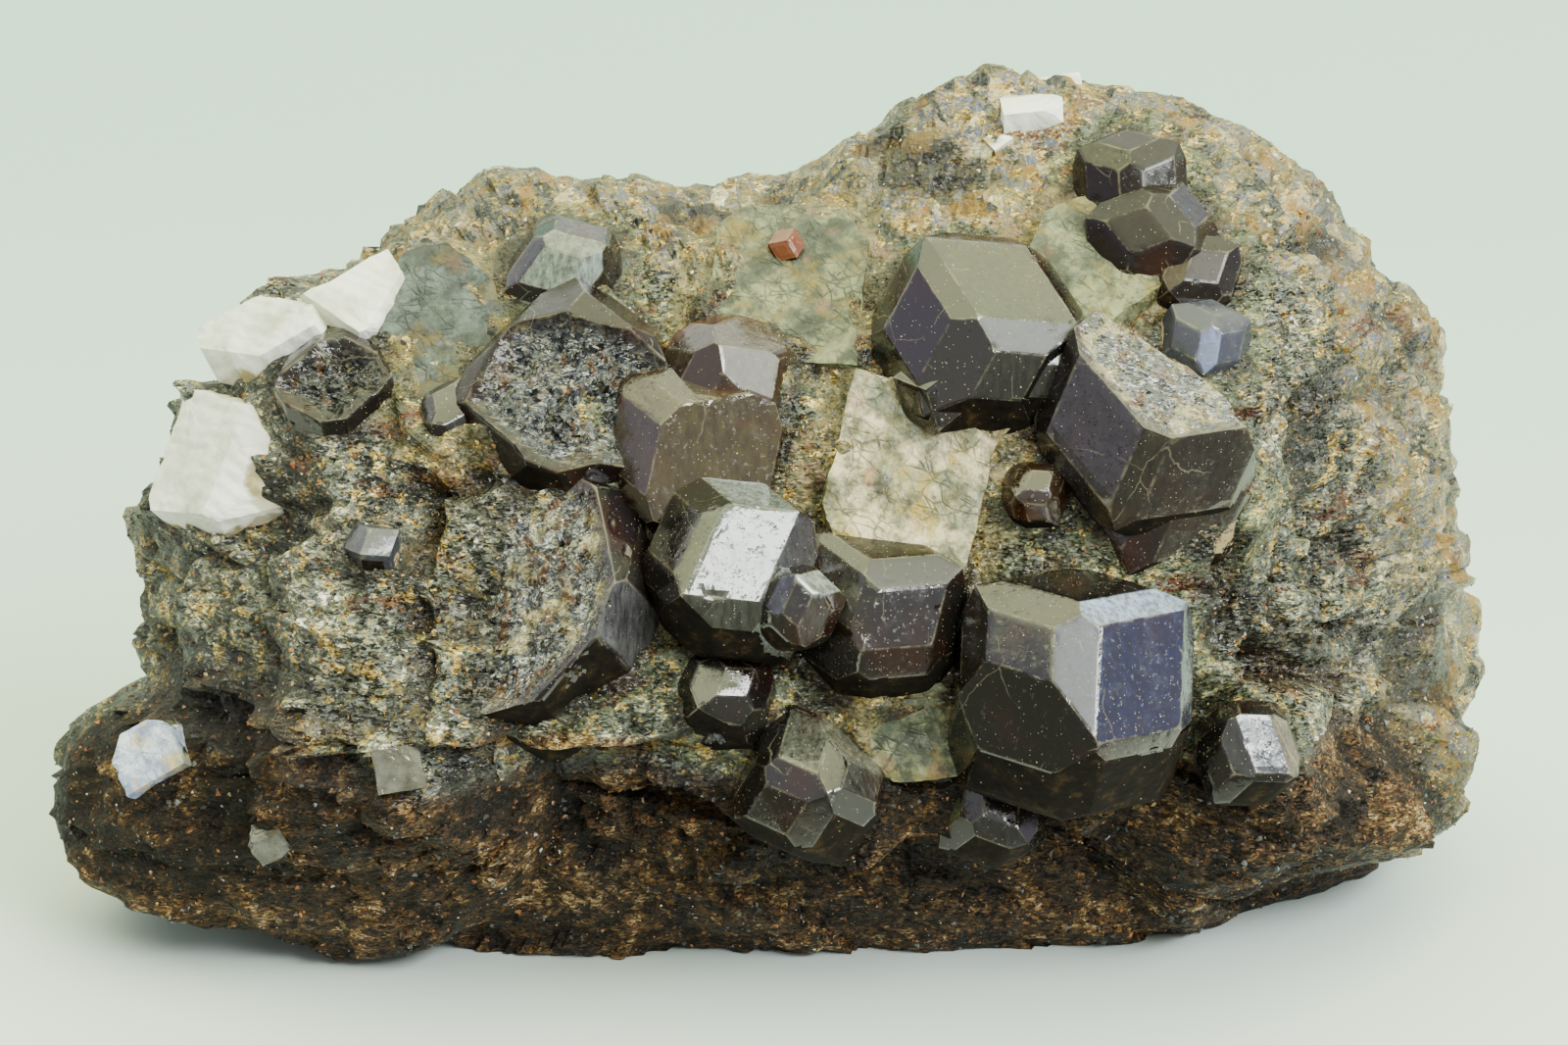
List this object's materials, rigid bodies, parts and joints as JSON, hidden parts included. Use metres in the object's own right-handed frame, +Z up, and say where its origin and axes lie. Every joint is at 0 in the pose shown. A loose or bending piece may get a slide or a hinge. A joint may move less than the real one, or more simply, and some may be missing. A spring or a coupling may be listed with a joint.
{
  "type": "garnet crystals in matrix rock",
  "caption": "Hand specimen of dark faceted garnet crystals, single and grown together, standing in brown granular rock with pale feldspar and white calcite.",
  "frame": {"origin": "middle of the bounding box, on the surface the rock rests on", "axes": "+X along the specimen's long side, -Y out of the crystal-bearing front, +Z up"},
  "size_m": [0.0906, 0.0502, 0.0519],
  "materials": {
    "rock": "rough, granular, rusty brown with grey and tan grains",
    "garnet": "glassy, nearly black brown, with sheen and dust",
    "broken_garnet": "rough broken surface, sparkling grey brown",
    "red_garnet": "glassy red brown",
    "feldspar": "satin, grey green with cream patches",
    "calcite": "matt to satin white, cleavage steps",
    "pale_feldspar": "satin, pale blue grey",
    "quartz": "clear grey glassy"
  },
  "bodies": {
    "root": {"matrix": "rock", "garnet_front_right": "garnet", "garnet_front_small": "garnet", "garnet_upper": "garnet", "garnet_right": "garnet", "garnet_right_small": "garnet", "garnet_centre": "garnet", "garnet_brown": "garnet", "garnet_low": "garnet", "garnet_ledge": "garnet", "garnet_pale": "garnet", "garnet_left_small": "garnet", "garnet_left_tiny": "garnet", "garnet_top_right": "garnet", "garnet_blue": "garnet", "garnet_broken": "broken_garnet", "garnet_left_lump": "broken_garnet", "garnet_left_mass": "broken_garnet", "garnet_red": "red_garnet", "plate_centre": "feldspar", "plate_face": "feldspar", "plate_left": "feldspar", "plate_right": "feldspar", "plate_low": "feldspar", "calcite_left_low": "calcite", "calcite_left_high": "calcite", "calcite_left_ridge": "calcite", "calcite_top": "calcite", "calcite_chip": "calcite", "feldspar_patch": "pale_feldspar", "quartz_star": "quartz", "quartz_bit": "quartz"}
  },
  "joints": []
}
